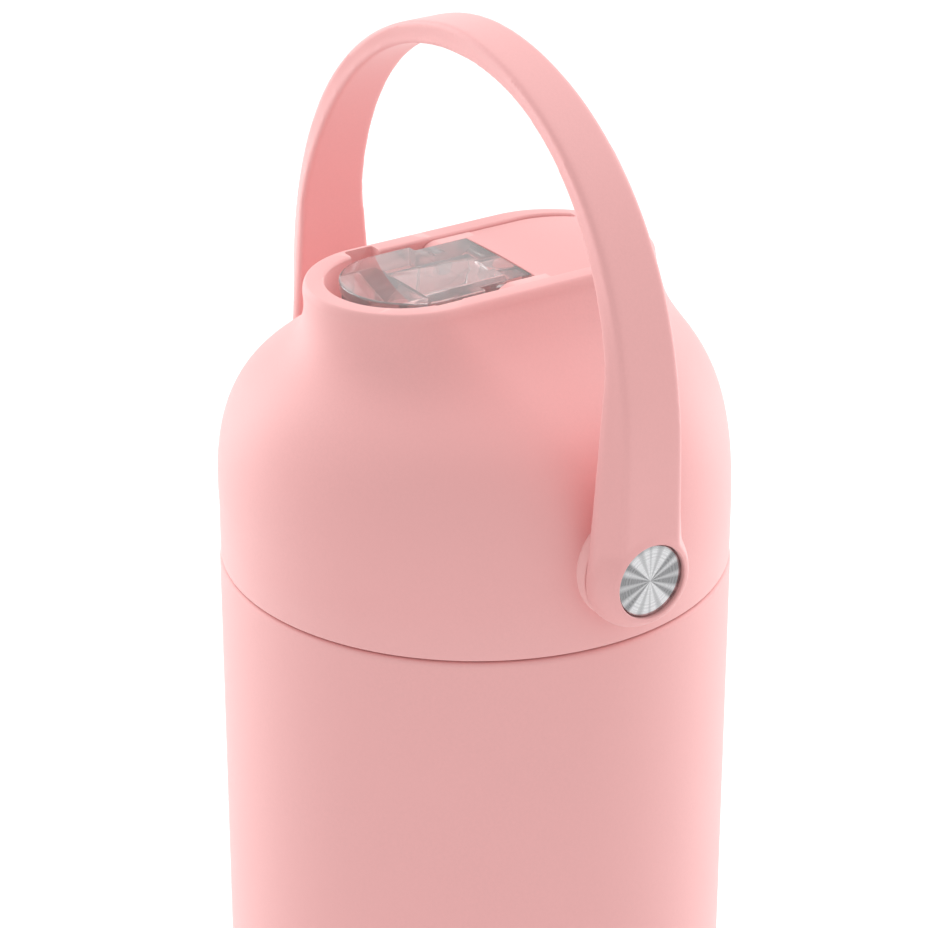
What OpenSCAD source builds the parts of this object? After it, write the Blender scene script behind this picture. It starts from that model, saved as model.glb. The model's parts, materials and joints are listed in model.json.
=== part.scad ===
// Insulated drinks bottle: a double-walled steel body, a full-width screw lid with a
// folding clear spout, a straw, and a swinging carry handle.
// Millimetres. Origin at the centre of the base, +Z up, the spout points to -Y and the
// handle turns about the X direction.

/* [Bottle] */
// Outside diameter of the steel body
body_d = 96; // [95.6:0.1:96.2]
// Height of the seam between the body and the lid
seam_z = 176; // [150:1:220]
// Thickness of the outer steel wall
wall_t = 0.8; // [0.6:0.1:1]
// Thickness of the inner steel wall
liner_t = 0.6; // [0.5:0.1:0.8]
// Outside radius of the threaded neck
neck_r = 36; // [35.8:0.1:36]
// Height of the neck above the seam
neck_h = 14.8; // [14.4:0.1:14.8]

/* [Lid thread] */
// Rise of the lid in one turn
thread_lead = 4; // [3.5:0.1:4]
// Turns of thread on the neck and in the lid
thread_turns = 1.75; // [1.5:0.25:1.75]

/* [Lid] */
// Height of the lip above the seam
lip_h = 57.2; // [57:0.1:57.6]
// Half width of the mouth recess, inside the lip
recess_half_w = 13.8; // [13.7:0.1:13.9]
// Distance from the middle to the front end centre of the mouth recess
recess_front_c = 16; // [15.8:0.1:16.2]
// Distance from the middle to the rear end centre of the mouth recess
recess_rear_c = 18.2; // [18:0.1:18.3]
// Height of the recess floor above the seam
recess_floor_h = 43.6; // [43.4:0.1:43.6]

/* [Spout] */
// Fore and aft place of the spout hinge
hinge_y = -1.5; // [-1.7:0.1:-1.3]
// Height of the spout hinge above the seam
hinge_h = 52.3; // [52.2:0.1:52.4]
// Radius of the spout's turning barrel
barrel_r = 7.9; // [7.7:0.1:7.9]

/* [Handle] */
// Height of the handle pivot above the seam
pivot_h = 15.3; // [15:0.1:15.6]
// Rise of the handle's outer face above the pivot
handle_rise = 86; // [84:0.5:90]
// Diameter of the steel caps over the handle pivots
cap_d = 13.4; // [12.6:0.1:13.8]

/* [Hidden] */
$fn = 64;

// Colours
pink = [0.95, 0.72, 0.72];
steel = [0.78, 0.78, 0.79];
white = [0.93, 0.93, 0.92];
silicone = [0.96, 0.95, 0.93];
clear = [0.85, 0.83, 0.83, 0.5];
brass = [0.80, 0.66, 0.35];
foam = [0.95, 0.93, 0.85];

// Overshoot of every cut
over = 1;

// Body
body_r = body_d / 2;
base_corner_r = 2.8;
neck_top = seam_z + neck_h;
shoulder_top = seam_z - 0.1;
shoulder_edge_r = 0.8;
neck_fillet_r = 0.9;
liner_r = body_r - 4.4;
liner_floor = 7;
liner_corner_r = 5.6;
liner_neck_r = neck_r - 1.6;
base_ring_r = body_r - 3.1;

// Thread: two matching ridges half a lead apart
thread_seg = 48;
thread_crest = 0.45;
thread_root = 0.85;
neck_crest_r = neck_r + 1.1;
lid_crest_r = neck_r + 0.4;
skirt_in_r = neck_r + 1.5;
skirt_out_r = neck_r + 4;
neck_thread_z = seam_z + 2.6;

// Lid heights
lid_edge_z = seam_z + 0.25;
lip_z = seam_z + lip_h;
floor_z = seam_z + recess_floor_h;
floor_t = 2.2;
plate_z = neck_top + 1.8;
plate_t = 2.4;
hinge_z = seam_z + hinge_h;
pivot_z = seam_z + pivot_h;

// Lid shell: Bezier control values of the shoulder, from the skirt up to the lip
shoulder_z = [11.15, 44.9, 36.8, 55];
side_w = [47.8, 46, 26, 17.9];
front_l = [47.8, 50.4, 29.8, 33.7];
rear_l = [47.8, 48.1, 37.2, 36.3];
ring_points = 56;
shoulder_steps = 14;
lip_fillet_steps = 3;
lip_flat_w = 3.1;
shell_t = 2.4;
slope_t = 3.2;
cavity_end = 0.6;
skirt_shell_r = 45.2;

// Pivot stack along X, from the lid outwards
boss_r = 9.75;
boss_x = 48.9;
inner_boss_r = 6.4;
inner_boss_x = skirt_out_r + 1;
insert_r = 4;
screw_r = 2;
shoulder_r = 3.5;
washer_t = 0.5;
eye_x = boss_x + washer_t + 0.1;
bushing_t = 2.5;
bushing_r = 4.6;
head_x = eye_x + bushing_t;
head_seat_r = 5.6;
cap_seat_x = 53.9;
cap_t = 0.76;
eye_rim_x = 55.7;
eye_r = 10;
eye_rim_r = 7.8;
pocket_r = cap_d / 2 + 0.5;

// Handle strap: outer and inner curves in the XZ plane, from the pivot to the crown
outer_x = 55;
outer_leg = 21;
outer_bow = [51, 19];
inner_x = 49.6;
inner_leg = 38;
inner_bow = [5, 40];
inner_rise = handle_rise - 4.2;
outer_half_w = [6.4, 4.4];
inner_half_w = [9.8, 4];
strap_flare = 1.8;
arch_fine = 60;
arch_steps = 22;

// Spout
spout_narrow = 10.75;
spout_wide = 12.6;
spout_front_y = -27;
spout_step_y = -6.1;
spout_bottom_z = floor_z + 2.2;
spout_top_z = lip_z - 0.2;
duct_half_w = 6.1;
duct_roof = 3.2;
duct_h = 6.2;
duct_back_y = 2.4;
duct_front_y = -15.4;
port_r = 3;
mouth_half_w = 9.4;
mouth_wall = 1.6;
ear_in = 11.05;
ear_r = 3.8;
ear_y = 0;
pin_r = 1.5;
pin_in = 9;

// Deck
deck_half_w = recess_half_w - 0.15;
deck_front_y = 5.6;
deck_z = lip_z - 0.6;
deck_crown_r = 233;
deck_crown = 0.4;
ear_z = deck_z + 0.1 - ear_r;
deck_wall = 1.8;
thumb_angle = 38;
finger_x = [-16.4, 14.5];
finger_y = [-18, -12];
finger_depth = 7;

// Water way
tube_out_r = 4.6;
tube_in_r = 3.2;
vent_y = -16;
vent_out_r = 3.4;
vent_in_r = 1.6;
straw_r = 3.9;
straw_in_r = 3.1;
straw_bottom = liner_floor + 3;
sleeve_r = 4.9;
socket_r = 6.2;
socket_bottom = seam_z + 2;

// ---- Shared functions and shapes ----

// Value at t of a cubic Bezier with the four control values p
function bezier(p, t) =
    pow(1 - t, 3) * p[0] + 3 * pow(1 - t, 2) * t * p[1]
    + 3 * (1 - t) * t * t * p[2] + pow(t, 3) * p[3];

// Points of an arc in a plane, about c, from angle a0 to a1
function arc(c, r, a0, a1, n = 6) =
    [for (i = [0 : n]) c + r * [cos(a0 + (a1 - a0) * i / n), sin(a0 + (a1 - a0) * i / n)]];

// One level outline of the lid: a round of half width s whose front half is moved
// forward by front and whose rear half is moved back by rear
function outline(z, s, front, rear) = [
    for (i = [0 : ring_points - 1])
        let (a = 360 * i / ring_points, y = sin(a))
        let (shift = abs(y) < 0.001 ? (rear - front) / 2 : (y > 0 ? rear : -front))
        [s * cos(a), s * y + shift, z]
];

// Outline at place t of the shoulder, moved inwards by inset
function shoulder_outline(t, inset = 0) =
    let (s = bezier(side_w, t))
    outline(seam_z + bezier(shoulder_z, t), s - inset, bezier(front_l, t) - s, bezier(rear_l, t) - s);

// Closed solid through a list of rings with the same number of points
module loft(rings) {
    n = len(rings[0]);
    last = len(rings) - 1;
    points = [for (ring = rings) for (p = ring) p];
    sides = [
        for (k = [0 : last - 1]) for (i = [0 : n - 1])
            let (j = (i + 1) % n, a = k * n, b = (k + 1) * n)
            each [[a + i, b + i, b + j], [a + i, b + j, a + j]]
    ];
    bottom = [[for (i = [0 : n - 1]) i]];
    top = [[for (i = [n - 1 : -1 : 0]) last * n + i]];
    polyhedron(points, concat(sides, bottom, top), convexity = 6);
}

// Helical ridge from root radius to crest radius, tapering out at both ends
module thread_ridge(root_r, crest_r, z0) {
    steps = round(thread_turns * thread_seg);
    taper = thread_seg / 6;
    loft([
        for (i = [0 : steps])
            let (a = 360 * i / thread_seg, z = z0 + thread_lead * i / thread_seg)
            let (f = min(1, i / taper, (steps - i) / taper))
            let (tip = root_r + (crest_r - root_r) * (0.3 + 0.7 * f))
            let (out = crest_r > root_r ? 1 : -1)
            [for (p = [[root_r, -thread_root], [root_r, thread_root],
                       [tip, thread_crest], [tip, -thread_crest]])
                [p[0] * cos(a), p[0] * sin(a), z + out * p[1]]]
    ]);
}

// Cylinder along X between x0 and x1
module x_cylinder(r, x0, x1) {
    translate([x0, 0, 0]) rotate([0, 90, 0]) cylinder(r = r, h = x1 - x0);
}

// Tube along X between x0 and x1
module x_tube(r, bore, x0, x1) {
    difference() {
        x_cylinder(r, x0, x1);
        x_cylinder(bore, x0 - over, x1 + over);
    }
}

// Upright tube between z0 and z1
module z_tube(r, bore, z0, z1) {
    difference() {
        translate([0, 0, z0]) cylinder(r = r, h = z1 - z0);
        translate([0, 0, z0 - over]) cylinder(r = bore, h = z1 - z0 + 2 * over);
    }
}

// Upright prism with straight sides and two round ends
module stadium(half_w, front, rear, z0, z1) {
    h = z1 - z0;
    translate([0, -front, z0]) cylinder(r = half_w, h = h);
    translate([0, rear, z0]) cylinder(r = half_w, h = h);
    translate([-half_w, -front, z0]) cube([2 * half_w, front + rear, h]);
}

// The same shape at the pivot on the right and, turned, at the pivot on the left
module both_pivots() {
    for (turn = [0, 180]) translate([0, 0, pivot_z]) rotate([0, 0, turn]) children();
}

// ---- Bottle ----

module outer_shell() {
    color(pink) {
        rotate_extrude($fn = 128) polygon(concat(
            arc([body_r - base_corner_r, 0.3 + base_corner_r], base_corner_r, -90, 0),
            arc([body_r - shoulder_edge_r, shoulder_top - shoulder_edge_r], shoulder_edge_r, 0, 90, 4),
            arc([neck_r + neck_fillet_r, shoulder_top + neck_fillet_r], neck_fillet_r, 270, 180, 4),
            [[neck_r, neck_top - 0.3], [neck_r - 0.3, neck_top], [neck_r - wall_t, neck_top],
             [neck_r - wall_t, shoulder_top - wall_t], [body_r - wall_t, shoulder_top - wall_t]],
            arc([body_r - base_corner_r, 0.3 + base_corner_r], base_corner_r - wall_t, 0, -90)
        ));
        thread_ridge(neck_r - wall_t / 2, neck_crest_r, neck_thread_z);
    }
}

module inner_liner() {
    corner = [liner_r - liner_corner_r, liner_floor + liner_corner_r];
    bend_low = seam_z - 16;
    bend_high = seam_z - 4;
    color(steel) rotate_extrude($fn = 128) polygon(concat(
        [[0, liner_floor]],
        arc(corner, liner_corner_r, -90, 0),
        [[liner_r, bend_low], [liner_neck_r, bend_high], [liner_neck_r, neck_top - liner_t],
         [neck_r - wall_t - 0.05, neck_top - liner_t], [neck_r - wall_t - 0.05, neck_top],
         [liner_neck_r - liner_t, neck_top], [liner_neck_r - liner_t, bend_high - 0.2],
         [liner_r - liner_t, bend_low - 0.2]],
        arc(corner, liner_corner_r - liner_t, 0, -90),
        [[0, liner_floor + liner_t]]
    ));
}

module base_plate() {
    color(steel) rotate_extrude($fn = 128) polygon([
        [0, 3], [36, 3], [38, 0], [base_ring_r, 0],
        [base_ring_r, wall_t], [38.6, wall_t], [36.6, 3 + wall_t], [0, 3 + wall_t]
    ]);
}

module vacuum_plug() {
    color(steel) rotate_extrude() polygon([[0, 1.9], [4.4, 1.9], [5, 2.3], [5, 3], [0, 3]]);
}

// ---- Lid ----

module neck_gasket() {
    color(silicone) z_tube(neck_r + 0.8, neck_r - 2.8, neck_top + 0.05, plate_z - 0.05);
}

// Outer form of the lid: skirt, shoulder and rounded lip
module lid_form() {
    skirt = [
        outline(lid_edge_z, side_w[0] - 0.6, 0, 0),
        outline(lid_edge_z + 0.5, side_w[0] - 0.1, 0, 0),
    ];
    shoulder = [for (i = [0 : shoulder_steps]) shoulder_outline(i / shoulder_steps)];
    side = [side_w[3], recess_half_w + lip_flat_w];
    front = [front_l[3], recess_half_w + lip_flat_w + recess_front_c];
    rear = [rear_l[3], recess_half_w + lip_flat_w + recess_front_c];
    rise = [seam_z + shoulder_z[3], lip_z];
    fillet = [
        for (i = [1 : lip_fillet_steps])
            let (a = 90 * i / lip_fillet_steps, u = 1 - cos(a), v = sin(a))
            let (s = side[0] + (side[1] - side[0]) * u)
            outline(rise[0] + (rise[1] - rise[0]) * v, s,
                front[0] + (front[1] - front[0]) * u - s,
                rear[0] + (rear[1] - rear[0]) * u - s)
    ];
    loft(concat(skirt, shoulder, fillet));
}

// Hollow of the lid under the recess floor
module lid_cavity() {
    below = [
        outline(lid_edge_z - over, side_w[0] - shell_t, 0, 0),
        outline(seam_z + shoulder_z[0], side_w[0] - shell_t, 0, 0),
    ];
    steps = 7;
    above = [for (i = [1 : steps]) shoulder_outline(cavity_end * i / steps, slope_t)];
    loft(concat(below, above));
}

module lid_shell() {
    color(pink) difference() {
        union() {
            difference() {
                union() {
                    lid_form();
                    both_pivots() x_cylinder(boss_r, boss_x - 5, boss_x);
                }
                lid_cavity();
            }
            both_pivots() x_cylinder(inner_boss_r, inner_boss_x, side_w[0] - 1);
        }
        both_pivots() x_cylinder(insert_r, inner_boss_x - over, boss_x + over);
        stadium(recess_half_w, recess_front_c, recess_rear_c, floor_z, lip_z + over);
        translate([finger_x[0], finger_y[0], lip_z - finger_depth])
            cube([finger_x[1] - finger_x[0], finger_y[1] - finger_y[0], finger_depth + over]);
        translate([0, recess_front_c, deck_z]) linear_extrude(lip_z - deck_z + over) polygon([
            [0, 0], [30 * tan(thumb_angle), 30], [-30 * tan(thumb_angle), 30]
        ]);
        translate([0, hinge_y, floor_z - floor_t - over])
            cylinder(r = tube_out_r, h = floor_t + 2 * over);
        translate([0, vent_y, floor_z - floor_t - over])
            cylinder(r = vent_in_r + 0.6, h = floor_t + 2 * over);
    }
}

module lid_inner() {
    bottom = seam_z + 1;
    tube_top = floor_z - floor_t - 0.1;
    color(white) {
        z_tube(skirt_out_r, skirt_in_r, bottom, plate_z + over);
        z_tube(skirt_shell_r, skirt_out_r - over, bottom, bottom + 2.2);
        difference() {
            translate([0, 0, plate_z]) cylinder(r = skirt_out_r, h = plate_t);
            translate([0, hinge_y, plate_z - over]) cylinder(r = tube_in_r, h = plate_t + 2 * over);
            translate([0, vent_y, plate_z - over]) cylinder(r = vent_in_r, h = plate_t + 2 * over);
        }
        translate([0, hinge_y, 0]) z_tube(tube_out_r, tube_in_r, plate_z + over, tube_top);
        translate([0, vent_y, 0]) z_tube(vent_out_r, vent_in_r, plate_z + over, tube_top);
        translate([0, hinge_y, 0]) z_tube(socket_r, sleeve_r, socket_bottom, plate_z + over);
        thread_ridge(skirt_in_r + 0.4, lid_crest_r, neck_thread_z + thread_lead / 2);
    }
}

module lid_foam() {
    low = plate_z + plate_t + 0.2;
    color(foam) difference() {
        rotate_extrude($fn = 96) polygon([
            [0, low], [39, low], [39, seam_z + 27], [30, seam_z + 38.5],
            [27, floor_z - floor_t - 0.3], [0, floor_z - floor_t - 0.3]
        ]);
        translate([0, hinge_y, low - over]) cylinder(r = tube_out_r + 0.2, h = 40);
        translate([0, vent_y, low - over]) cylinder(r = vent_out_r + 0.2, h = 40);
    }
}

module deck_cover() {
    bottom = floor_z + 0.1;
    ear_w = deck_half_w - ear_in;
    color(pink) difference() {
        union() {
            intersection() {
                difference() {
                    stadium(deck_half_w, 0, recess_rear_c, bottom, deck_z + over);
                    stadium(deck_half_w - deck_wall, -deck_front_y - 8, recess_rear_c - 0.6,
                        bottom - over, deck_z - deck_wall - 0.6);
                    translate([-deck_half_w - over, -deck_half_w - over, bottom - over])
                        cube([2 * deck_half_w + 2 * over, deck_half_w + over + deck_front_y, 30]);
                }
                translate([0, 0, deck_z - deck_crown_r + deck_crown]) rotate([-90, 0, 0])
                    cylinder(r = deck_crown_r, h = 60, $fn = 200);
            }
            for (x = [-deck_half_w, ear_in]) {
                translate([x, ear_y, ear_z]) rotate([0, 90, 0]) cylinder(r = ear_r, h = ear_w);
                translate([x, ear_y, ear_z - ear_r])
                    cube([ear_w, deck_front_y - ear_y + over, 2 * ear_r]);
            }
        }
        translate([0, hinge_y, hinge_z]) x_cylinder(barrel_r + 0.3, -ear_in, ear_in);
        translate([0, hinge_y, hinge_z]) x_cylinder(pin_r, -30, 30);
    }
}

module spout_seal() {
    color(silicone) translate([0, hinge_y, 0]) difference() {
        union() {
            z_tube(tube_out_r, port_r, floor_z - floor_t, hinge_z);
            z_tube(tube_out_r + 1.2, port_r, floor_z + 0.05, hinge_z);
        }
        translate([0, 0, hinge_z]) x_cylinder(barrel_r + 0.1, -20, 20);
        translate([-20, -20, floor_z + 1.2]) cube([40, 40, 20]);
    }
}

module vent_valve() {
    color(silicone) translate([0, vent_y, 0]) {
        translate([0, 0, floor_z - floor_t]) cylinder(r = vent_in_r + 0.5, h = floor_t + over);
        translate([0, 0, floor_z + 0.05]) rotate_extrude() polygon([
            [0, 0], [3.4, 0], [3.4, 0.6], [2.4, 1.5], [0, 1.8]
        ]);
    }
}

module straw() {
    color(clear) translate([0, hinge_y, 0]) difference() {
        z_tube(straw_r, straw_in_r, straw_bottom, plate_z - 1);
        translate([0, 0, straw_bottom]) rotate([30, 0, 0]) translate([-10, -10, -10.5])
            cube([20, 20, 10]);
    }
}

module straw_sleeve() {
    color(silicone) translate([0, hinge_y, 0])
        z_tube(sleeve_r, straw_r, socket_bottom + 0.5, plate_z - 1);
}

module hinge_pins() {
    color(steel) for (turn = [0, 180])
        translate([0, hinge_y, hinge_z]) rotate([0, 0, turn])
            x_cylinder(pin_r, pin_in, deck_half_w - 0.1);
}

// ---- Handle pivots ----

module pivot_inserts() {
    color(brass) both_pivots() x_tube(insert_r, screw_r, inner_boss_x + 0.2, boss_x);
}

module pivot_screws() {
    color(steel) both_pivots() {
        x_cylinder(screw_r, inner_boss_x + 1.2, boss_x + over);
        x_cylinder(shoulder_r, boss_x, head_x + over);
        difference() {
            x_cylinder(head_seat_r - 0.4, head_x + 0.05, head_x + 1.4);
            translate([head_x + 0.7, 0, 0]) rotate([0, 90, 0]) cylinder(r = 1.7, h = 3, $fn = 6);
        }
    }
}

module wear_washers() {
    color(white) both_pivots()
        x_tube(boss_r - 0.9, shoulder_r + 0.1, boss_x + 0.05, boss_x + 0.05 + washer_t);
}

// ---- Moving pieces ----

module spout() {
    roof_z = spout_top_z - duct_roof;
    depth = spout_top_z - spout_bottom_z;
    color(clear) difference() {
        union() {
            intersection() {
                translate([0, hinge_y, hinge_z]) x_cylinder(barrel_r, -spout_narrow, spout_narrow);
                translate([-20, -20, hinge_z - 20])
                    cube([40, 40, spout_top_z - hinge_z + 20]);
            }
            translate([-spout_narrow, spout_step_y - over, spout_bottom_z])
                cube([2 * spout_narrow, hinge_y - spout_step_y + over, depth]);
            translate([0, spout_front_y + spout_wide, spout_bottom_z])
                cylinder(r = spout_wide, h = depth);
            translate([-spout_wide, spout_front_y + spout_wide, spout_bottom_z])
                cube([2 * spout_wide, spout_step_y - spout_front_y - spout_wide, depth]);
        }
        translate([-duct_half_w, duct_front_y - over, roof_z - duct_h])
            cube([2 * duct_half_w, duct_back_y - duct_front_y + over, duct_h]);
        translate([0, duct_back_y - over, hinge_z]) rotate([-90, 0, 0])
            cylinder(r = port_r, h = 20);
        translate([-mouth_half_w, spout_front_y - over, spout_bottom_z + mouth_wall])
            cube([2 * mouth_half_w, duct_front_y - spout_front_y + over, depth - 2 * mouth_wall]);
        for (turn = [0, 180])
            translate([0, hinge_y, hinge_z]) rotate([0, 0, turn])
                x_cylinder(pin_r + 0.08, pin_in - 0.1, 30);
    }
}

// Half of a strap curve: a straight leg, then a bend to the crown
function strap_curve(x, leg, bow, rise) = concat(
    [[x, 0]],
    [for (i = [0 : arch_fine])
        let (t = i / arch_fine)
        [bezier([x, x, bow[1], 0], t), bezier([leg, leg + bow[0], rise, rise], t)]]
);

// Running length along a list of points
function run_lengths(p, i = 0, sum = 0) =
    i == len(p) - 1 ? [sum] : concat([sum], run_lengths(p, i + 1, sum + norm(p[i + 1] - p[i])));

// Point at a fraction f of the length of the points p with running lengths s
function along(p, s, f) =
    let (d = min(f, 0.99999) * s[len(s) - 1])
    let (i = [for (k = [0 : len(s) - 2]) if (s[k] <= d && d < s[k + 1]) k][0])
    p[i] + (p[i + 1] - p[i]) * (d - s[i]) / (s[i + 1] - s[i]);

module handle_strap() {
    outer = strap_curve(outer_x, outer_leg, outer_bow, handle_rise);
    inner = strap_curve(inner_x, inner_leg, inner_bow, inner_rise);
    outer_run = run_lengths(outer);
    inner_run = run_lengths(inner);
    loft([
        for (k = [-arch_steps : arch_steps])
            let (side = k < 0 ? 1 : -1, f = 1 - abs(k) / arch_steps)
            let (o = k == 0 ? [0, handle_rise] : along(outer, outer_run, f))
            let (i = k == 0 ? [0, inner_rise] : along(inner, inner_run, f))
            let (wo = outer_half_w[0] + (outer_half_w[1] - outer_half_w[0]) * f)
            let (wi = inner_half_w[1]
                + (inner_half_w[0] - inner_half_w[1]) * pow(1 - f, strap_flare))
            [for (q = [[0, wi - 1], [0.2, wi], [0.8, wo + 0.4], [1, wo - 0.9],
                       [1, 0.9 - wo], [0.8, -wo - 0.4], [0.2, -wi], [0, 1 - wi]])
                let (p = i + (o - i) * q[0])
                [side * p[0], -q[1], pivot_z + p[1]]]
    ]);
}

module handle() {
    color(pink) difference() {
        union() {
            handle_strap();
            both_pivots() rotate([0, 90, 0]) rotate_extrude() polygon(concat(
                [[0, eye_x], [eye_r, eye_x], [eye_r, 51.5], [9.9, 52.6], [9.5, 53.8],
                 [9, 54.8]],
                [[eye_rim_r + 0.3, eye_rim_x - 0.1], [eye_rim_r - 0.1, eye_rim_x], [0, eye_rim_x]]
            ));
        }
        both_pivots() {
            x_cylinder(pocket_r, cap_seat_x, eye_rim_x + over);
            x_cylinder(head_seat_r, head_x, cap_seat_x + over);
            x_cylinder(bushing_r, eye_x - over, head_x + over);
        }
    }
}

module pivot_bushings() {
    color(white) both_pivots() x_tube(bushing_r, shoulder_r + 0.05, eye_x, head_x);
}

module pivot_caps() {
    color(steel) both_pivots() {
        x_cylinder(cap_d / 2, cap_seat_x, cap_seat_x + cap_t);
        x_tube(head_seat_r - 0.05, head_seat_r - 1, cap_seat_x - 0.45, cap_seat_x + 0.3);
    }
}

outer_shell();
inner_liner();
base_plate();
vacuum_plug();
neck_gasket();
lid_shell();
lid_inner();
lid_foam();
deck_cover();
spout_seal();
vent_valve();
straw();
straw_sleeve();
hinge_pins();
pivot_inserts();
pivot_screws();
wear_washers();
spout();
handle();
pivot_bushings();
pivot_caps();
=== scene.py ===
"""Looks of the insulated drinks bottle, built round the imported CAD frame.

Lengths are metres in the CAD's own frame: origin at the centre of the base, +Z up,
the folded spout points to -Y and the handle turns about X.
"""
import json
import math

import bmesh
import bpy
from mathutils import Matrix, Vector


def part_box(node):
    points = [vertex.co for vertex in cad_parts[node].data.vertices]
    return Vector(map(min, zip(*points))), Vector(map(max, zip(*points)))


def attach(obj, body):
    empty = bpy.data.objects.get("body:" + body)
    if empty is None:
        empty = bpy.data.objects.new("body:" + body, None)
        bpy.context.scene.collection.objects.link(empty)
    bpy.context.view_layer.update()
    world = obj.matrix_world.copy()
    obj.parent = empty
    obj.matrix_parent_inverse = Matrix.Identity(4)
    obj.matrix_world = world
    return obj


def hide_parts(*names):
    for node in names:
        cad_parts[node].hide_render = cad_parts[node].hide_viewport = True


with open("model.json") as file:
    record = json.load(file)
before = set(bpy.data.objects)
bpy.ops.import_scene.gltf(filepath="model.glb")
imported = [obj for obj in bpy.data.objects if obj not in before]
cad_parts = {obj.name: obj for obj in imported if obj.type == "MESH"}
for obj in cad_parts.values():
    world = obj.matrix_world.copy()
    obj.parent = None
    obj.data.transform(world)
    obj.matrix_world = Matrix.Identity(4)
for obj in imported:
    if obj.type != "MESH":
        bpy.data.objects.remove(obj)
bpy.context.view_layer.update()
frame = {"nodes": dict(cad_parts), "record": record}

MM = 0.001
joints = {j["name"]: j for j in frame["record"]["behaviour"]["joints"]}


def lo(node):
    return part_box(node)[0]


def hi(node):
    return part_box(node)[1]


# ---- Dimensions, worked out from the frame ----

body_r = hi("outer_shell").x
neck_top = hi("outer_shell").z
lid_edge = lo("lid_shell").z
seam = lid_edge - 0.25 * MM
lip = hi("lid_shell").z
pivot_z = joints["handle_swing"]["pos_m"][2]
hinge_y, hinge_z = joints["spout_flip"]["pos_m"][1:]
handle_top = hi("handle").z
rim_x = hi("handle").x
boss_x = hi("lid_shell").x
spout_half = hi("spout").x
spout_front = lo("spout").y
spout_top = hi("spout").z
barrel_bottom = lo("spout").z
barrel_r = hinge_z - barrel_bottom
deck_half = hi("deck_cover").x
deck_back = hi("deck_cover").y
deck_top = hi("deck_cover").z
cap_face = hi("pivot_caps").x
cap_r = (hi("pivot_caps").z - lo("pivot_caps").z) / 2
recess_half = deck_half + 0.15 * MM
recess_rear_c = deck_back - deck_half
recess_floor = lo("deck_cover").z - 0.1 * MM
deck_edge = lip - 0.6 * MM


# ---- Dimensions that the frame's boxes don't show ----

neck_r = 36 * MM
recess_front_c = 16 * MM
recess_floor_wall = 2.2 * MM
vent_y = -16 * MM
eye_r = 10 * MM
cap_seat = 53.9 * MM
duct_front = -15.4 * MM


# ---- Geometry helpers ----

def bezier(p, t):
    """Cubic curve through four control values."""
    u = 1 - t
    return u ** 3 * p[0] + 3 * u * u * t * p[1] + 3 * u * t * t * p[2] + t ** 3 * p[3]


def smooth(a, b, x):
    """0 below a, 1 above b and a soft step between."""
    t = min(1, max(0, (x - a) / (b - a)))
    return t * t * (3 - 2 * t)


def arc(cx, cy, r, a0, a1, n):
    """Points of a plane arc about (cx, cy), angles in degrees."""
    return [
        (cx + r * math.cos(math.radians(a0 + (a1 - a0) * i / n)),
         cy + r * math.sin(math.radians(a0 + (a1 - a0) * i / n)))
        for i in range(n + 1)
    ]


def mesh_object(name, verts, faces, sharp=35):
    """A new closed, smooth-shaded mesh whose edges steeper than sharp degrees stay crisp."""
    mesh = bpy.data.meshes.new(name)
    mesh.from_pydata([tuple(v) for v in verts], [], faces)
    return finish_mesh(name, mesh, sharp)


def finish_mesh(name, mesh, sharp=35):
    """Welds a mesh, turns its faces outwards, shades it and makes an object of it."""
    bm = bmesh.new()
    bm.from_mesh(mesh)
    bmesh.ops.remove_doubles(bm, verts=bm.verts, dist=1e-7)
    bmesh.ops.recalc_face_normals(bm, faces=bm.faces)
    bm.to_mesh(mesh)
    bm.free()
    mesh.shade_smooth()
    mesh.set_sharp_from_angle(angle=math.radians(sharp))
    obj = bpy.data.objects.new(name, mesh)
    bpy.context.scene.collection.objects.link(obj)
    return obj


def loft(name, rings, sharp=35, closed=False):
    """A closed skin over rings that all have the same number of points.

    The end rings are capped, or with closed=True joined to each other."""
    n = len(rings[0])
    verts = [p for ring in rings for p in ring]
    faces = []
    last = len(rings) if closed else len(rings) - 1
    for k in range(last):
        a, b = k * n, (k + 1) % len(rings) * n
        for i in range(n):
            j = (i + 1) % n
            faces.append((a + i, a + j, b + j, b + i))
    if not closed:
        faces.append(tuple(range(n)))
        faces.append(tuple(range(len(verts) - n, len(verts)))[::-1])
    return mesh_object(name, verts, faces, sharp)


def lathe(name, profile, segments=192, sharp=35):
    """A skin turned about Z from a closed profile of (radius, height) points."""
    rings = [
        [(r * math.cos(a), r * math.sin(a), z) for r, z in profile]
        for a in (2 * math.pi * i / segments for i in range(segments))
    ]
    return loft(name, rings, sharp, closed=True)


def rounded_box(name, low, high, radius, segments=4):
    """A box with rounded edges, used as a cutter."""
    bm = bmesh.new()
    bmesh.ops.create_cube(bm, size=1)
    size = Vector(high) - Vector(low)
    for v in bm.verts:
        v.co = Vector(low) + Vector((c + 0.5) * s for c, s in zip(v.co, size))
    bmesh.ops.bevel(bm, geom=list(bm.edges), offset=radius, segments=segments, profile=0.5,
                    affect="EDGES")
    mesh = bpy.data.meshes.new(name)
    bm.to_mesh(mesh)
    bm.free()
    return finish_mesh(name, mesh)


def rod(name, start, end, radius, segments=64):
    """A plain round bar between two points, used as a cutter."""
    axis = Vector(end) - Vector(start)
    turn = axis.to_track_quat("Z", "Y").to_matrix()
    rings = [
        [Vector(start) + turn @ Vector((radius * math.cos(a), radius * math.sin(a), h))
         for a in (2 * math.pi * i / segments for i in range(segments))]
        for h in (0, axis.length)
    ]
    return loft(name, rings)


def combine(obj, others, operation="DIFFERENCE", sharp=35):
    """Exact boolean of obj with each of the others, which are used up."""
    for other in others:
        mod = obj.modifiers.new("cut", "BOOLEAN")
        mod.operation = operation
        mod.solver = "EXACT"
        mod.object = other
        apply_modifiers(obj)
        bpy.data.objects.remove(other)
    obj.data.shade_smooth()
    obj.data.set_sharp_from_angle(angle=math.radians(sharp))
    return obj


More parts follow.
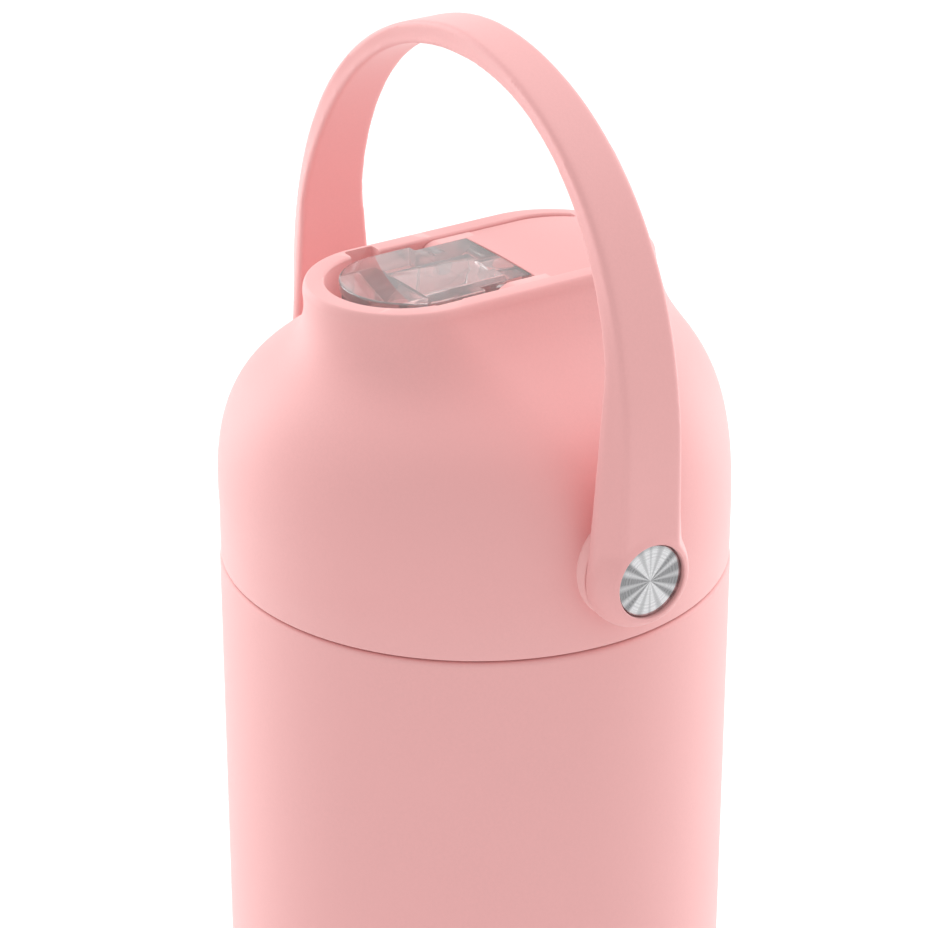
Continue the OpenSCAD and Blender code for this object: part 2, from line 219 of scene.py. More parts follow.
def apply_modifiers(obj):
    """Bakes an object's modifiers into its mesh."""
    graph = bpy.context.evaluated_depsgraph_get()
    mesh = bpy.data.meshes.new_from_object(obj.evaluated_get(graph))
    obj.modifiers.clear()
    old = obj.data
    mesh.name = old.name
    obj.data = mesh
    bpy.data.meshes.remove(old)


def join(name, objects):
    """One mesh object out of several."""
    bm = bmesh.new()
    for obj in objects:
        mesh = obj.data
        mesh.transform(obj.matrix_basis)
        bm.from_mesh(mesh)
        bpy.data.objects.remove(obj)
    mesh = bpy.data.meshes.new(name)
    bm.to_mesh(mesh)
    bm.free()
    return finish_mesh(name, mesh)


def turned(obj, matrix):
    """obj with its mesh moved by a matrix."""
    obj.data.transform(matrix)
    return obj


def to_right_side(obj):
    """Takes a lathe made about Z to the X axis through the right handle pivot."""
    return turned(obj, Matrix.Translation((0, 0, pivot_z)) @ Matrix.Rotation(math.pi / 2, 4, "Y"))


HALF_TURN = Matrix.Rotation(math.pi, 4, "Z")


def both_sides(make):
    """Two pieces from make(name side): the right one, and one turned to the left."""
    return make("right"), turned(make("left"), HALF_TURN)


def place(obj, body, material, slot, *nodes):
    """Puts a piece on its body, in its material, in place of CAD nodes."""
    obj.data.materials.clear()
    obj.data.materials.append(material)
    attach(obj, body)
    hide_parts(*nodes)


# ---- Materials ----

class Shader:
    """A Principled material and short ways to add nodes to it."""

    def __init__(self, name, color, roughness, **sockets):
        self.material = bpy.data.materials.new(name)
        self.material.use_nodes = True
        self.tree = self.material.node_tree
        self.bsdf = self.tree.nodes["Principled BSDF"]
        self.set(self.bsdf, **{"Base Color": (*color, 1), "Roughness": roughness}, **sockets)
        self.color = color
        self.place = self.node("ShaderNodeTexCoord").outputs["Object"]
        self.bump = None

    @staticmethod
    def set(node, **values):
        for key, value in values.items():
            node.inputs[key].default_value = value

    def node(self, kind, **values):
        made = self.tree.nodes.new(kind)
        self.set(made, **values)
        return made

    def link(self, out, node, socket):
        self.tree.links.new(out, node.inputs[socket])

    def noise(self, scale, detail=2.0, roughness=0.5, stretch=(1, 1, 1)):
        """Noise whose features are about 1/scale metres, stretched along the axes."""
        mapping = self.node("ShaderNodeMapping", Scale=stretch)
        self.link(self.place, mapping, "Vector")
        made = self.node("ShaderNodeTexNoise", Scale=scale, Detail=detail, Roughness=roughness)
        self.link(mapping.outputs[0], made, "Vector")
        return made.outputs["Fac"]

    def band(self, value, low, high, start=0.0, end=1.0):
        """value mapped from low..high to start..end."""
        made = self.node("ShaderNodeMapRange", **{"From Min": low, "From Max": high,
                                                  "To Min": start, "To Max": end})
        self.link(value, made, "Value")
        return made.outputs[0]

    def mix_color(self, factor, a, b):
        made = self.tree.nodes.new("ShaderNodeMix")
        made.data_type = "RGBA"
        self.link(factor, made, 0)
        for socket, value in ((6, a), (7, b)):
            if isinstance(value, tuple):
                made.inputs[socket].default_value = (*value, 1)
            else:
                self.tree.links.new(value, made.inputs[socket])
        return made.outputs[2]

    def math(self, operation, a, b):
        """Maths on two values, each an output or a number."""
        made = self.tree.nodes.new("ShaderNodeMath")
        made.operation = operation
        for socket, value in enumerate((a, b)):
            if isinstance(value, float):
                made.inputs[socket].default_value = value
            else:
                self.link(value, made, socket)
        return made.outputs[0]

    def line_noise(self, value, scale, detail, roughness):
        """Noise that runs along one value."""
        made = self.node("ShaderNodeTexNoise", Scale=scale, Detail=detail, Roughness=roughness)
        made.noise_dimensions = "1D"
        self.link(value, made, "W")
        return made.outputs["Fac"]

    def add_bump(self, height, strength, distance):
        made = self.node("ShaderNodeBump", Strength=strength, Distance=distance)
        self.link(height, made, "Height")
        if self.bump:
            self.link(self.bump, made, "Normal")
        self.bump = made.outputs[0]
        self.link(self.bump, self.bsdf, "Normal")

    def pass_light(self, share):
        """Lets a share of the light that falls on a clear piece reach what is behind it."""
        path = self.node("ShaderNodeLightPath").outputs
        indirect = self.math("MAXIMUM", path["Is Shadow Ray"], path["Is Diffuse Ray"])
        through = self.node("ShaderNodeBsdfTransparent", Color=(*self.color, 1))
        mix = self.tree.nodes.new("ShaderNodeMixShader")
        self.link(self.band(indirect, 0, 1, 0, share), mix, 0)
        self.link(self.bsdf.outputs[0], mix, 1)
        self.link(through.outputs[0], mix, 2)
        self.link(mix.outputs[0], self.tree.nodes["Material Output"], "Surface")

    def edges(self, low, high):
        """1 on convex edges, where wear and a painted highlight go, 0 elsewhere."""
        return self.band(self.node("ShaderNodeNewGeometry").outputs["Pointiness"], low, high)


def shade(color, factor):
    """A colour made lighter or darker."""
    return tuple(min(1, c * factor) for c in color)


PINK = (0.80, 0.398, 0.393)
# Paler pink of convex edges: part wear, part painted highlight.
WORN_AND_HIGHLIGHT_PINK = (0.86, 0.50, 0.49)


def soft_pink(name, grain, grain_depth, roughness, worn_and_highlit_edges=True):
    """Matt pink finish: fine grain, faint handling marks, convex edges paler from wear and a painted
    highlight.
    """
    s = Shader(name, PINK, roughness, **{
        "Specular IOR Level": 0.35, "Sheen Weight": 0.35, "Sheen Roughness": 0.45,
        "Sheen Tint": (1, 0.86, 0.85, 1)})
    cloud = s.noise(28, 3, 0.55)
    fine = s.noise(grain, 2, 0.6)
    speck = s.noise(grain * 0.45, 3, 0.7)
    tone = s.mix_color(s.band(cloud, 0.35, 0.65), shade(PINK, 0.985), shade(PINK, 1.015))
    tone = s.mix_color(s.band(speck, 0.30, 0.72), tone, shade(PINK, 1.035))
    if worn_and_highlit_edges:
        # Convex edges lightened: part wear, part painted highlight.
        tone = s.mix_color(s.edges(0.505, 0.56), tone, WORN_AND_HIGHLIGHT_PINK)
    s.link(tone, s.bsdf, "Base Color")
    s.link(s.band(cloud, 0.3, 0.7, roughness - 0.04, roughness + 0.05), s.bsdf, "Roughness")
    s.add_bump(speck, 0.35, grain_depth * 2)
    s.add_bump(fine, 0.5, grain_depth)
    return s.material


def clear_plastic(name, tint, roughness):
    """Clear moulded plastic with faint flow lines and fine scratches."""
    s = Shader(name, tint, roughness, **{
        "Transmission Weight": 0.91, "IOR": 1.42, "Specular IOR Level": 0.7,
        "Coat Weight": 0.6, "Coat Roughness": 0.02})
    flow = s.noise(90, 2, 0.5, (1, 0.25, 1))
    scratch = s.noise(900, 4, 0.7, (1, 0.05, 1))
    s.link(s.band(scratch, 0.55, 0.75, roughness, roughness + 0.04), s.bsdf, "Roughness")
    s.link(s.mix_color(s.band(flow, 0.35, 0.65), shade(tint, 0.99), tint), s.bsdf, "Base Color")
    s.add_bump(flow, 0.04, 0.08 * MM)
    s.pass_light(0.95)
    return s.material


def brushed_steel(name, stretch, color=(0.62, 0.62, 0.63), roughness=0.27):
    """Steel with a drawn or turned grain along the axis that stretch keeps long."""
    s = Shader(name, color, roughness, **{"Metallic": 1.0})
    grain = s.noise(700, 4, 0.65, stretch)
    stain = s.noise(18, 3, 0.6)
    s.link(s.band(grain, 0.3, 0.7, roughness - 0.07, roughness + 0.09), s.bsdf, "Roughness")
    tone = s.mix_color(s.band(stain, 0.35, 0.7), color, shade(color, 0.9))
    s.link(s.mix_color(s.band(grain, 0.2, 0.8), shade(color, 0.86), tone), s.bsdf, "Base Color")
    s.add_bump(grain, 0.25, 0.02 * MM)
    return s.material


def spun_steel(name):
    """Face-turned steel disc: fine rings about the local Z axis, with sectors of light from its
    anisotropic grain and painted sectors of reflection in its colour.
    """
    s = Shader(name, (0.60, 0.60, 0.61), 0.24, **{"Metallic": 1.0, "Anisotropic": 0.75})
    tangent = s.node("ShaderNodeTangent")
    tangent.direction_type = "RADIAL"
    tangent.axis = "Z"
    s.link(tangent.outputs[0], s.bsdf, "Tangent")
    split = s.node("ShaderNodeSeparateXYZ")
    s.link(s.place, split, "Vector")
    angle = s.math("ARCTAN2", split.outputs["Y"], split.outputs["X"])
    painted_light_fans = s.line_noise(s.math("PINGPONG", angle, math.pi / 2), 2.6, 0.0, 0.5)
    flat = s.node("ShaderNodeVectorMath")
    flat.operation = "MULTIPLY"
    flat.inputs[1].default_value = (1, 1, 0)
    s.link(s.place, flat, 0)
    distance = s.node("ShaderNodeVectorMath")
    distance.operation = "LENGTH"
    s.link(flat.outputs[0], distance, 0)
    rings = s.line_noise(distance.outputs["Value"], 3000.0, 2.0, 0.7)
    groove = s.band(rings, 0.35, 0.65, 0.0, 0.55)
    # Painted reflection: lighter and darker sectors laid into the base colour round the axis.
    light = s.mix_color(groove, (0.70, 0.70, 0.71), (0.50, 0.50, 0.51))
    dark = s.mix_color(groove, (0.22, 0.22, 0.225), (0.42, 0.42, 0.43))
    s.link(s.mix_color(s.band(painted_light_fans, 0.36, 0.64), dark, light), s.bsdf, "Base Color")
    s.link(s.band(rings, 0.3, 0.7, 0.18, 0.34), s.bsdf, "Roughness")
    s.add_bump(rings, 0.3, 0.02 * MM)
    return s.material


def silicone(name, color):
    """Soft matt rubber with a dusty bloom."""
    s = Shader(name, color, 0.62, **{"Subsurface Weight": 0.15, "Subsurface Scale": 0.8 * MM,
                                     "Sheen Weight": 0.2})
    dust = s.noise(160, 4, 0.6)
    s.link(s.mix_color(s.band(dust, 0.3, 0.7), shade(color, 0.95), color), s.bsdf, "Base Color")
    s.link(s.band(dust, 0.3, 0.7, 0.52, 0.7), s.bsdf, "Roughness")
    s.add_bump(s.noise(2500, 2, 0.5), 0.25, 0.02 * MM)
    return s.material


def moulded(name, color, roughness=0.4):
    """Plain moulded plastic with faint flow shading and a fine spark-eroded texture."""
    s = Shader(name, color, roughness)
    flow = s.noise(45, 3, 0.5)
    s.link(s.mix_color(s.band(flow, 0.3, 0.7), shade(color, 0.96), color), s.bsdf, "Base Color")
    s.link(s.band(flow, 0.3, 0.7, roughness - 0.05, roughness + 0.07), s.bsdf, "Roughness")
    s.add_bump(s.noise(3000, 2, 0.5), 0.2, 0.02 * MM)
    return s.material


coat = soft_pink("body_powder_coat", 3600, 0.02 * MM, 0.52)
lid_pink = soft_pink("lid_soft_touch", 4200, 0.016 * MM, 0.50)
handle_pink = soft_pink("handle_soft_touch", 4200, 0.016 * MM, 0.50, worn_and_highlit_edges=False)
clear = clear_plastic("clear_mouthpiece", (1.0, 0.985, 0.985), 0.0)
straw_clear = clear_plastic("clear_straw", (0.93, 0.93, 0.93), 0.08)
drawn_steel = brushed_steel("drawn_steel", (1, 1, 0.06))
base_steel = brushed_steel("turned_base_steel", (1, 1, 1), roughness=0.33)
pin_steel = brushed_steel("pin_steel", (0.1, 1, 1), roughness=0.2)
cap_steel = spun_steel("spun_cap_steel")
brass = brushed_steel("turned_brass", (0.1, 1, 1), (0.72, 0.52, 0.22), 0.25)
white_silicone = silicone("white_silicone", (0.78, 0.76, 0.73))
white_plastic = moulded("white_moulded", (0.80, 0.80, 0.78))
foam_beads = moulded("foam_filler", (0.82, 0.78, 0.66), 0.8)


# ---- Bottle body ----

def body_shell():
    """Coated outer wall with rolled edges, shoulder and neck; the base edge curls in."""
    wall = 0.8 * MM
    corner = 2.8 * MM
    edge = 1.0 * MM
    fillet = 0.9 * MM
    rim = 0.35 * MM
    shoulder = seam - 0.1 * MM
    base = lo("outer_shell").z
    side = body_r - corner
    profile = (
        arc(side, base + corner, corner, -90, 0, 12)
        + arc(body_r - edge, shoulder - edge, edge, 0, 90, 10)
        + arc(neck_r + fillet, shoulder + fillet, fillet, 270, 180, 6)
        + arc(neck_r - rim, neck_top - rim, rim, 0, 90, 4)
        + [(neck_r - wall, neck_top), (neck_r - wall, shoulder - wall),
           (body_r - wall, shoulder - wall)]
        + arc(side, base + corner, corner - wall, 0, -90, 8)
    )
    shell = lathe("shell", profile, 288)
    return join("body_shell", [shell, neck_thread()])


def neck_thread():
    """Rolled right-hand thread on the neck."""
    root, crest, lead, turns = neck_r - 0.4 * MM, neck_r + 1.1 * MM, 4 * MM, 1.75
    start = seam + 2.6 * MM
    steps, run_out = 220, 22
    section = [(0, -0.85), (0.55, -0.62), (0.9, -0.4), (1, -0.15),
               (1, 0.15), (0.9, 0.4), (0.55, 0.62), (0, 0.85)]
    rings = []
    for i in range(steps + 1):
        a = 2 * math.pi * turns * i / steps
        fade = 0.25 + 0.75 * smooth(0, run_out, min(i, steps - i))
        rings.append([
            ((root + (crest - root) * fade * out) * math.cos(a),
             (root + (crest - root) * fade * out) * math.sin(a),
             start + lead * turns * i / steps + up * MM)
            for out, up in section
        ])
    return loft("thread", rings)


# ---- Lid ----

# Control values from the skirt up to the lip: height, half width, front and rear reach
SHOULDER_Z = [seam + h * MM for h in (11.15, 44.9, 36.8, 55)]
SIDE = [w * MM for w in (47.8, 46, 26, 17.9)]
FRONT = [w * MM for w in (47.8, 50.4, 29.8, 33.7)]
REAR = [w * MM for w in (47.8, 48.1, 37.2, 36.3)]
OUTLINE_POINTS = 256


def outline(z, half, front, rear, inset=0.0):
    """Level stadium outline: half width, front and rear reach, evenly spaced points."""
    r = half - inset
    f, b = front - half, rear - half
    straight = f + b
    total = 2 * math.pi * r + 2 * straight
    ring = []
    for i in range(OUTLINE_POINTS):
        d = total * i / OUTLINE_POINTS
        quarter = math.pi * r / 2
        if d < quarter:
            a = d / r
            p = (r * math.sin(a), -f - r * math.cos(a))
        elif d < quarter + straight:
            p = (r, -f + d - quarter)
        elif d < 3 * quarter + straight:
            a = (d - quarter - straight) / r
            p = (r * math.cos(a), b + r * math.sin(a))
        elif d < 3 * quarter + 2 * straight:
            p = (-r, b - (d - 3 * quarter - straight))
        else:
            a = (d - 3 * quarter - 2 * straight) / r
            p = (-r * math.cos(a), -f - r * math.sin(a))
        ring.append((p[0], p[1], z))
    return ring


def shoulder_outline(t, inset=0.0):
    return outline(bezier(SHOULDER_Z, t), bezier(SIDE, t), bezier(FRONT, t), bezier(REAR, t), inset)


def recess_ring(z, out):
    """Level outline of the mouth recess, moved outwards by out."""
    w = recess_half + out
    return outline(z, w, w + recess_front_c, w + recess_rear_c)


def thumb_cutter():
    """Wedge that opens the lip behind the deck; its ends slope."""
    rings = []
    past_lid = 40 * MM
    for z, spread in ((deck_edge, 36.5), (lip, 40), (lip + 2 * MM, 45)):
        side = past_lid * math.sin(math.radians(spread))
        rear = recess_front_c + past_lid * math.cos(math.radians(spread))
        rings.append([(0, recess_front_c, z), (side, rear, z), (-side, rear, z)])
    return loft("thumb_cut", rings)


def lid_cover():
    """Pink lid moulding: skirt, shoulder, rounded lip and mouth recess, hollow inside."""
    wall, shoulder_wall = 2.4 * MM, 3.2 * MM
    skirt = SIDE[0]
    lip_flat = 3.1 * MM
    foot, soft, root = 0.5 * MM, 0.55 * MM, 0.8 * MM
    hollow = 0.6
    under = recess_floor - recess_floor_wall
    rings = [
        outline(under, 2 * MM, 2.1 * MM, 2.1 * MM),
        shoulder_outline(hollow, shoulder_wall),
    ]
    rings += [shoulder_outline(hollow * k / 10, shoulder_wall) for k in range(9, 0, -1)]
    rings += [outline(z, skirt - wall, skirt - wall, skirt - wall)
              for z in (SHOULDER_Z[0], lid_edge)]
    rings += [outline(lid_edge + foot + z, skirt - foot + r, skirt - foot + r, skirt - foot + r)
              for r, z in arc(0, 0, foot, -90, 0, 5)]
    rings += [shoulder_outline(t / 48) for t in range(49)]
    outer = recess_half + lip_flat
    reach = outer + recess_front_c
    for r, z in arc(0, 0, 1, 0, 90, 10)[1:]:
        rings.append(outline(
            SHOULDER_Z[3] + (lip - SHOULDER_Z[3]) * z,
            outer + (SIDE[3] - outer) * r,
            reach + (FRONT[3] - reach) * r,
            reach + (REAR[3] - reach) * r))
    rings += [recess_ring(lip - soft + z, soft + r) for r, z in arc(0, 0, soft, 90, 180, 6)]
    rings += [recess_ring(z, 0) for z in (lip - 3 * MM, lip - 8 * MM)]
    rings += [recess_ring(recess_floor + root + z, r - root) for r, z in arc(0, 0, root, 0, -90, 5)]
    rings.append(recess_ring(recess_floor, 2 * MM - recess_half))
    cover = loft("cover", rings)
    notch_low = (-16.4 * MM, -18 * MM, lip - 7 * MM)
    notch_high = (14.5 * MM, -12 * MM, lip + 3 * MM)
    drink_r, vent_r = 4.6 * MM, 2.2 * MM
    cutters = [rounded_box("notch_cut", notch_low, notch_high, 0.6 * MM), thumb_cutter()]
    cutters += [rod("floor_cut", (0, y, under - MM), (0, y, recess_floor + MM), r)
                for y, r in ((hinge_y, drink_r), (vent_y, vent_r))]
    cover = combine(cover, cutters, sharp=40)
    return join("lid_cover", [cover, *both_sides(lid_boss)])


def lid_boss(side):
    """Round boss that the handle's eye turns against, with its brass insert's bore."""
    r, bore, edge = 9.75 * MM, 4.0 * MM, 0.35 * MM
    base = boss_x - 5 * MM
    profile = (
        [(bore, base), (r, base)] + arc(r - edge, boss_x - edge, edge, 0, 90, 5) + [(bore, boss_x)]
    )
    return to_right_side(lathe(f"lid_boss_{side}", profile, 128))


def deck():
    """Crowned cover behind the spout, with the two ears of the spout hinge."""
    edge = 0.3 * MM
    clear_r = barrel_r + 0.3 * MM
    bottom = lo("deck_cover").z

    def front_at(z):
        rise = z - hinge_z
        return hinge_y + math.sqrt(max(0, clear_r ** 2 - rise * rise))

    def ring(z, inset, drop):
        """D outline, from the front edge round by the right side and the rear."""
        r = deck_half - inset
        y0 = front_at(z) + min(inset, edge)
        c = recess_rear_c
        points = [(-r + 2 * r * i / 24, y0) for i in range(24)]
        points += [(r, y0 + (c - y0) * i / 16) for i in range(16)]
        points += arc(0, c, r, 0, 180, 40)[:-1]
        points += [(-r, c - (c - y0) * i / 16) for i in range(16)]
        return [(x, y, z - drop * (x / deck_half) ** 2) for x, y in points]

    crown = deck_top - deck_edge
    rings = [ring(z, 0, 0) for z in (bottom, bottom + 2 * MM, hinge_z - 4 * MM, hinge_z, hinge_z + 2 * MM)]
    rings += [ring(deck_top - edge + z, edge - r, crown) for r, z in arc(0, 0, edge, 0, 90, 5)]
    rings += [ring(deck_top, deck_half * k / 14, crown) for k in range(1, 14)]
    ear_inside = 11.05 * MM
    ears = [ear(-deck_half, -ear_inside), ear(ear_inside, deck_half)]
    return join("deck_plate", [loft("plate", rings), *ears])


def ear(x0, x1):
    """Upright ear round one hinge pin, running back into the deck."""
    r = 3.8 * MM
    soft = 0.3 * MM
    top = deck_edge + 0.12 * MM
    back = 7.5 * MM
    section = arc(0, top - r, r, 270, 90, 28) + [(back, top), (back, top - 2 * r)]
    return prism("ear", section[::-1], x0, x1, soft, lambda p, h: (h, p[0], p[1]))


# ---- Spout ----

MITRE_LIMIT = 0.35


def inset_outline(points, distance):
    """A closed plane outline moved inwards by distance, corners mitred."""
    n = len(points)
    moved = []
    for i in range(n):
        a, p, b = (Vector(points[k % n]) for k in (i - 1, i, i + 1))
        e1, e2 = (p - a).normalized(), (b - p).normalized()
        n1, n2 = Vector((-e1.y, e1.x)), Vector((-e2.y, e2.x))
        bisector = (n1 + n2).normalized()
        moved.append(tuple(p + bisector * distance / max(MITRE_LIMIT, bisector.dot(n1))))
    return moved


def prism(name, points, low, high, edge, place_point):
    """A bar with rounded end edges: an outline swept from low to high."""
    rings = []
    for r, h in arc(0, 0, edge, -90, 0, 4):
        rings.append([place_point(p, low + edge + h) for p in inset_outline(points, edge - r)])
    for r, h in arc(0, 0, edge, 0, 90, 4):
        rings.append([place_point(p, high - edge + h) for p in inset_outline(points, edge - r)])
    return loft(name, rings)


def spout_piece():
    """Clear mouthpiece: round nose, narrow root between the ears, turning barrel."""
    bottom = recess_floor + 2.2 * MM
    narrow = 10.75 * MM
    step = -6.1 * MM
    past_barrel = 12 * MM
    corner, edge = 0.3 * MM, 0.35 * MM
    outline_xy = (
        arc(0, spout_front + spout_half, spout_half, 180, 360, 72)
        + arc(spout_half - corner, step - corner, corner, 0, 90, 4)
        + [(narrow, step), (narrow, past_barrel), (-narrow, past_barrel), (-narrow, step)]
        + arc(-spout_half + corner, step - corner, corner, 90, 180, 4)
    )
    block = prism("spout_piece", outline_xy, barrel_bottom - 2 * MM, spout_top, edge,
                  lambda p, h: (p[0], p[1], h))
    drop, rise = hinge_z - bottom, spout_top - hinge_z
    front_meet = 180 + math.degrees(math.asin(drop / barrel_r))
    top_meet = 360 + math.degrees(math.asin(rise / barrel_r))
    barrel = arc(hinge_y, hinge_z, barrel_r, front_meet, top_meet, 72)
    above = spout_top + 5 * MM
    side = [(-40 * MM, above), (-40 * MM, bottom)] + barrel + [(barrel[-1][0], above)]
    trim = loft("trim", [[(x, y, z) for y, z in side] for x in (-20 * MM, 20 * MM)])
    spout = combine(block, [trim], "INTERSECT")
    roof = spout_top - 3.2 * MM
    duct_half, duct_h, duct_back = 6.1 * MM, 6.2 * MM, 2.4 * MM
    mouth_half, mouth_wall = 9.4 * MM, 1.6 * MM
    cutters = [
        rounded_box("duct", (-duct_half, duct_front - MM, roof - duct_h),
                    (duct_half, duct_back, roof), edge),
        rod("port", (0, MM, hinge_z), (0, past_barrel, hinge_z), 3 * MM),
        rounded_box("mouth", (-mouth_half, spout_front - 3 * MM, bottom + mouth_wall),
                    (mouth_half, duct_front, spout_top - mouth_wall), 1.2 * MM),
    ]
    cutters += [rod("pin_room", (sign * 8.9 * MM, hinge_y, hinge_z),
                    (sign * 20 * MM, hinge_y, hinge_z), 1.58 * MM) for sign in (1, -1)]
    return combine(spout, cutters, sharp=30)


# ---- Handle ----

# Distance from the middle, straight leg, pull of the bend at its foot and crown, and height
STRAP_OUTER = (55 * MM, 21 * MM, (51 * MM, 19 * MM), handle_top - pivot_z)
STRAP_INNER = (49.6 * MM, 38 * MM, (5 * MM, 40 * MM), handle_top - pivot_z - 4.2 * MM)
# Half widths at the pivot and at the crown, a little full because the softening shrinks them
OUTER_HALF_W = (6.6 * MM, 4.6 * MM)
INNER_HALF_W = (10.0 * MM, 4.2 * MM)
FLARE = 1.8


def strap_curve(x, leg, bow, rise):
    """One face of the strap from the pivot to the crown, as points along its length."""
    straight, bend = 20, 80  # steps
    points = [(x, leg * i / straight) for i in range(straight)]
    for i in range(bend + 1):
        t = i / bend
        points.append((bezier((x, x, bow[1], 0), t), bezier((leg, leg + bow[0], rise, rise), t)))
    return points


def along(points, count):
    """count + 1 evenly spaced points along a line."""
    runs = [0.0]
    for a, b in zip(points, points[1:]):
        runs.append(runs[-1] + math.dist(a, b))
    out, k = [], 0
    for i in range(count + 1):
        d = runs[-1] * i / count
        while k < len(runs) - 2 and runs[k + 1] < d:
            k += 1
        f = (d - runs[k]) / (runs[k + 1] - runs[k])
        a, b = points[k], points[k + 1]
        out.append((a[0] + (b[0] - a[0]) * f, a[1] + (b[1] - a[1]) * f))
    return out


def strap():
    """The arch: wide inner face, narrower outer face, sloping sides."""
    count = 150
    outer = along(strap_curve(*STRAP_OUTER), count)
    inner = along(strap_curve(*STRAP_INNER), count)
    rings = []
    for k in range(-count, count + 1):
        i = count - abs(k)
        f = i / count
        sign = -1 if k > 0 else 1
        o, n = outer[i], inner[i]
        wo = OUTER_HALF_W[0] + (OUTER_HALF_W[1] - OUTER_HALF_W[0]) * f
        wi = INNER_HALF_W[1] + (INNER_HALF_W[0] - INNER_HALF_W[1]) * (1 - f) ** FLARE
        # Share of the way from the inner to the outer face, and half width
        section = [(-0.07, wi - 0.3 * MM), (0.04, wi + 0.1 * MM), (0.3, wi), (0.6, (wi + wo) / 2),
                   (0.9, wo + 0.15 * MM), (1.08, wo - 0.45 * MM)]
        section = section + [(q, -w) for q, w in reversed(section)]
        rings.append([
            (sign * (n[0] + (o[0] - n[0]) * q), w, pivot_z + n[1] + (o[1] - n[1]) * q)
            for q, w in section
        ])
    return loft("strap", rings)


def eye(side):
    """Round end of the handle about its pivot."""
    back = boss_x + 0.35 * MM
    edge = 0.2 * MM
    rim_r = 7.85 * MM
    slope = [(9.8 * MM, 52.6 * MM), (9.2 * MM, 53.8 * MM), (8.5 * MM, 54.8 * MM)]
    profile = (
        [(0, back)] + arc(eye_r - edge, back + edge, edge, -90, 0, 3)
        + [(eye_r, 51.5 * MM)] + slope
        + [(rim_r + edge, rim_x - edge), (rim_r, rim_x), (0, rim_x)]
    )
    return to_right_side(lathe(f"eye_{side}", profile, 96))


def pocket_liner(side):
    """Lining of the cap's pocket with the rounded rim that catches the light."""
    wall = cap_r + 0.25 * MM
    soft = 0.25 * MM
    screw_room = 5.6 * MM
    bottom = cap_seat - 1.9 * MM
    profile = (
        [(screw_room, bottom), (screw_room, cap_seat), (wall, cap_seat)]
        + arc(wall + soft, rim_x - soft, soft, 180, 0, 10) + [(wall + 2 * soft, bottom)]
    )
    return to_right_side(lathe(f"pocket_{side}", profile, 160))


def handle_piece():
    """Carry handle in one moulding: strap and eyes flow into each other."""
    arch = join("handle_arch", [strap(), *both_sides(eye)])
    fuse = arch.modifiers.new("fuse", "REMESH")
    fuse.mode = "VOXEL"
    fuse.voxel_size = 0.36 * MM
    soften = arch.modifiers.new("soften", "SMOOTH")
    soften.factor = 0.5
    soften.iterations = 14
    apply_modifiers(arch)
    pocket = (52 * MM, 60 * MM, cap_r + 0.6 * MM)
    bush = (45 * MM, 53 * MM, 4.6 * MM)
    for sign in (1, -1):
        combine(arch, [
            rod("bore", (sign * start, 0, pivot_z), (sign * end, 0, pivot_z), r, 96)
            for start, end, r in (pocket, bush)
        ])
    return join("handle_arch", [arch, *both_sides(pocket_liner)])


def cap(side):
    """Spun steel disc with a chamfered edge and shallow turned rings."""
    crown = 0.4 * MM
    thick = cap_face + crown - cap_seat
    chamfer = 0.1 * MM
    pitch = 0.42 * MM
    rings = int((cap_r - 0.6 * MM) / pitch)
    face = []
    for i in range(rings, 0, -1):
        r = i * pitch
        face += [(r, thick - 0.03 * MM), (r - 0.2 * MM, thick - 0.004 * MM)]
    profile = (
        [(0, 0), (cap_r - chamfer, 0), (cap_r, chamfer), (cap_r, thick - chamfer),
         (cap_r - chamfer, thick - 0.01 * MM)] + face + [(0, thick)]
    )
    disc = lathe(f"pivot_cap_{side}", profile, 128, sharp=60)
    sign = 1 if side == "right" else -1
    disc.matrix_world = (
        Matrix.Translation((sign * cap_seat, 0, pivot_z))
        @ Matrix.Rotation(sign * math.pi / 2, 4, "Y")
    )
    return disc


# ---- Assembly ----

place(body_shell(), "bottle", coat, "body_coat", "outer_shell")
place(lid_cover(), "lid", lid_pink, "pink_plastic", "lid_shell")
place(deck(), "lid", lid_pink, "pink_plastic", "deck_cover")
place(spout_piece(), "spout", clear, "clear_plastic", "spout")
place(handle_piece(), "handle", handle_pink, "handle_plastic", "handle")
for side in ("right", "left"):
    place(cap(side), "handle", cap_steel, "spun_steel", "pivot_caps")

CAD_MATERIALS = {
    "inner_liner": drawn_steel, "base_plate": base_steel, "vacuum_plug": base_steel,
    "neck_gasket": white_silicone, "lid_inner": white_plastic, "lid_foam": foam_beads,
    "spout_seal": white_silicone, "vent_valve": white_silicone, "straw": straw_clear,
    "straw_sleeve": white_silicone, "hinge_pins": pin_steel, "pivot_inserts": brass,
    "pivot_screws": pin_steel, "wear_washers": white_plastic, "pivot_bushings": white_plastic,
}
for node, material in CAD_MATERIALS.items():
    for slot in frame["nodes"][node].material_slots:
        slot.material = material


# ---- Floor, light and camera ----

def stage_floor():
    """Plain pale floor."""
    s = Shader("studio_floor", (0.93, 0.93, 0.93), 0.6)
    mottle = s.noise(6, 2, 0.5)
    s.link(s.mix_color(mottle, (0.92, 0.92, 0.92), (0.94, 0.94, 0.94)), s.bsdf, "Base Color")
    half = 6.0
    corners = [(-half, -half, 0), (half, -half, 0), (half, half, 0), (-half, half, 0)]
    floor = mesh_object("floor", corners, [(0, 1, 2, 3)])
    floor.data.materials.append(s.material)


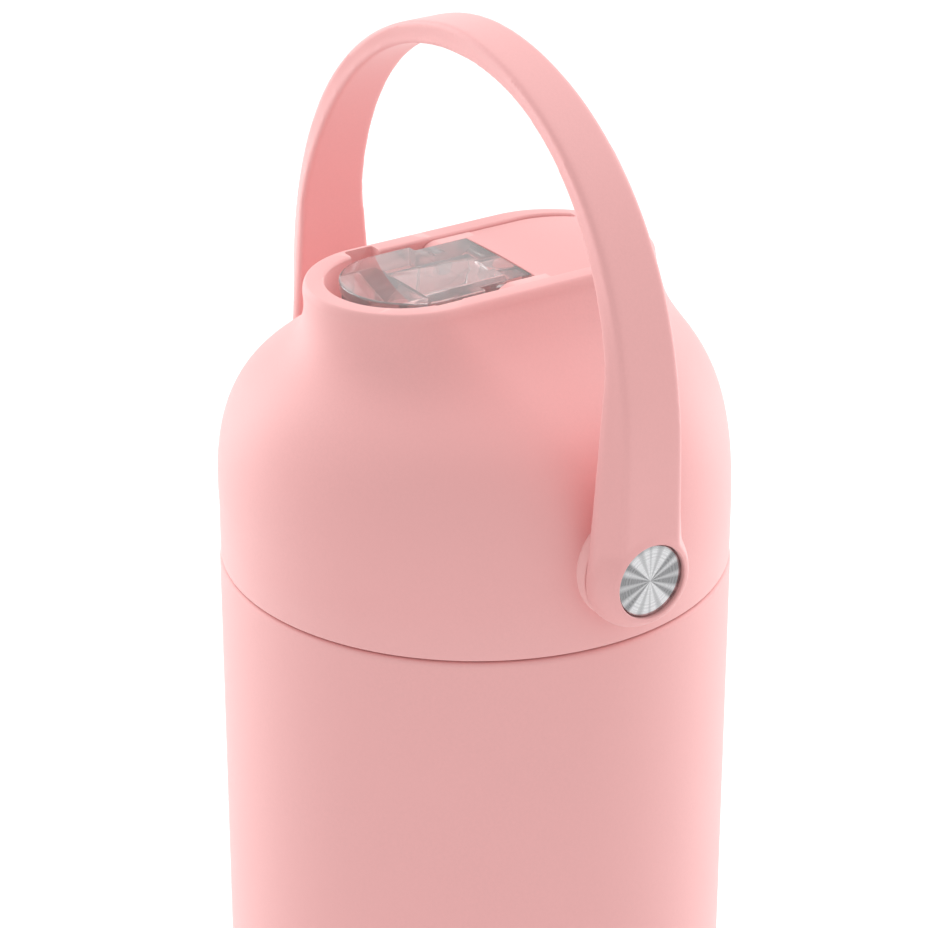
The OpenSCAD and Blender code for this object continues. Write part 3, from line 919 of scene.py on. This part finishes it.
def area_light(name, azimuth, elevation, distance, size, power):
    """Soft box at a place round the bottle, facing its middle."""
    aim = (0, 0, 0.16)
    data = bpy.data.lights.new(name, "AREA")
    data.shape = "RECTANGLE"
    data.size, data.size_y = size
    data.energy = power
    light = bpy.data.objects.new(name, data)
    a, e = math.radians(azimuth), math.radians(elevation)
    back = Vector((math.sin(a) * math.cos(e), -math.cos(a) * math.cos(e), math.sin(e)))
    light.location = Vector(aim) + back * distance
    light.rotation_euler = back.to_track_quat("Z", "Y").to_euler()
    bpy.context.scene.collection.objects.link(light)


VIEW_AZIMUTH = 56.3
SIDE_BOX = {"elevation": 20, "distance": 1.1, "size": (0.5, 1.2), "power": 7.5}


def studio():
    """Even white surroundings, a soft box behind each side and one above the back."""
    world = bpy.data.worlds.new("studio")
    world.use_nodes = True
    world.node_tree.nodes["Background"].inputs["Color"].default_value = (1, 1, 1, 1)
    world.node_tree.nodes["Background"].inputs["Strength"].default_value = 0.83
    bpy.context.scene.world = world
    area_light("left_box", VIEW_AZIMUTH - 123, **SIDE_BOX)
    area_light("right_box", VIEW_AZIMUTH + 123, **SIDE_BOX)
    area_light("top_box", VIEW_AZIMUTH + 180, 68, 1.3, (1.4, 1.2), 3.2)
    bpy.context.scene.view_settings.view_transform = "Standard"


def camera():
    """A view from the front right, a little above the lid."""
    data = bpy.data.cameras.new("camera")
    data.sensor_width = 36
    data.lens = 130.8
    data.clip_start, data.clip_end = 0.05, 20
    cam = bpy.data.objects.new("camera", data)
    reach, height = 0.5695, 0.2824
    turn_aside, tilt_down = 0.21, 25.04
    a = math.radians(VIEW_AZIMUTH)
    cam.location = (reach * math.sin(a), -reach * math.cos(a), seam + height)
    heading = math.radians(VIEW_AZIMUTH + turn_aside)
    pitch = math.radians(tilt_down)
    look = Vector((-math.sin(heading) * math.cos(pitch), math.cos(heading) * math.cos(pitch),
                   -math.sin(pitch)))
    cam.rotation_euler = look.to_track_quat("-Z", "Y").to_euler()
    bpy.context.scene.collection.objects.link(cam)
    bpy.context.scene.camera = cam


stage_floor()
studio()
camera()
